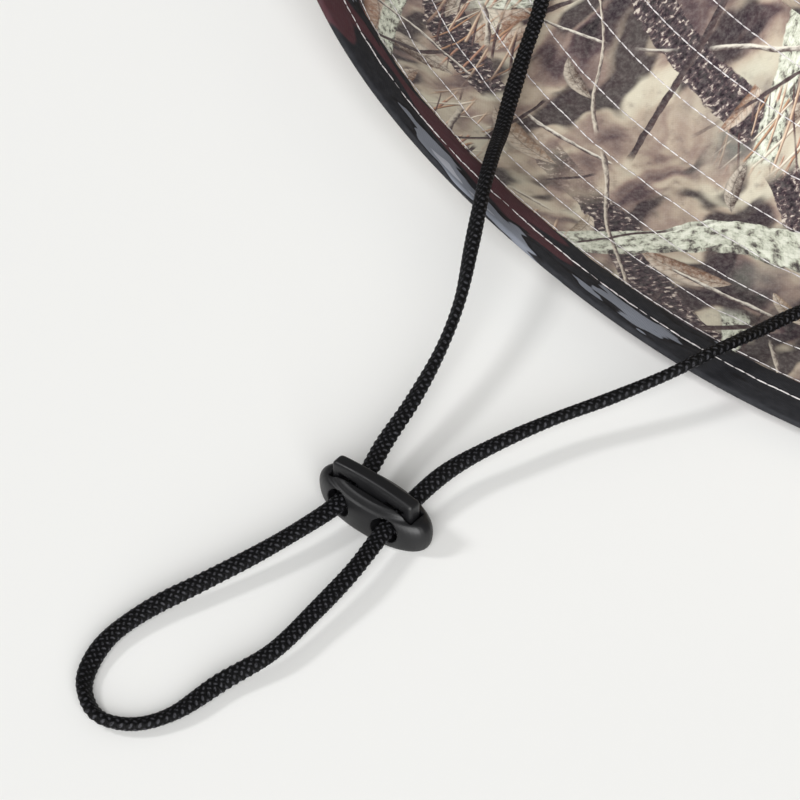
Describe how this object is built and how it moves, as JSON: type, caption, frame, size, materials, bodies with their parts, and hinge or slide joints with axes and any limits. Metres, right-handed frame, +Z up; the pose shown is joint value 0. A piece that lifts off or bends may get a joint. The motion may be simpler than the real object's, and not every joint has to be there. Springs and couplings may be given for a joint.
{
  "type": "bush hat",
  "caption": "Bush hat with an oval crown, a wide waved brim bound at its edge, and a looped cord chin strap with a spring cord lock.",
  "frame": {"origin": "middle of the hat's base, on the surface it lies on, measured without the cord", "axes": "+Z up through the crown, -Y towards the front of the brim, where the cord lies"},
  "size_m": [0.2964, 0.4345, 0.1138],
  "materials": {
    "printed_cloth": "matt woven cotton with a leafy print",
    "binding_tape": "smooth folded tape, topstitched",
    "black_cord": "tubular braid",
    "black_plastic": "satin moulded"
  },
  "bodies": {
    "hat": {"brim": "printed_cloth", "brim_binding": "binding_tape", "crown_side": "printed_cloth", "crown_top": "printed_cloth", "chin_cord": "black_cord", "lock_body": "black_plastic"},
    "button": {"lock_button": "black_plastic"}
  },
  "joints": [
    {"name": "button_press", "type": "slide", "parent": "hat", "child": "button", "axis": [0, 0, 1], "range_m": [-0.0014, 0], "stiffness_N_per_m": 200}
  ]
}
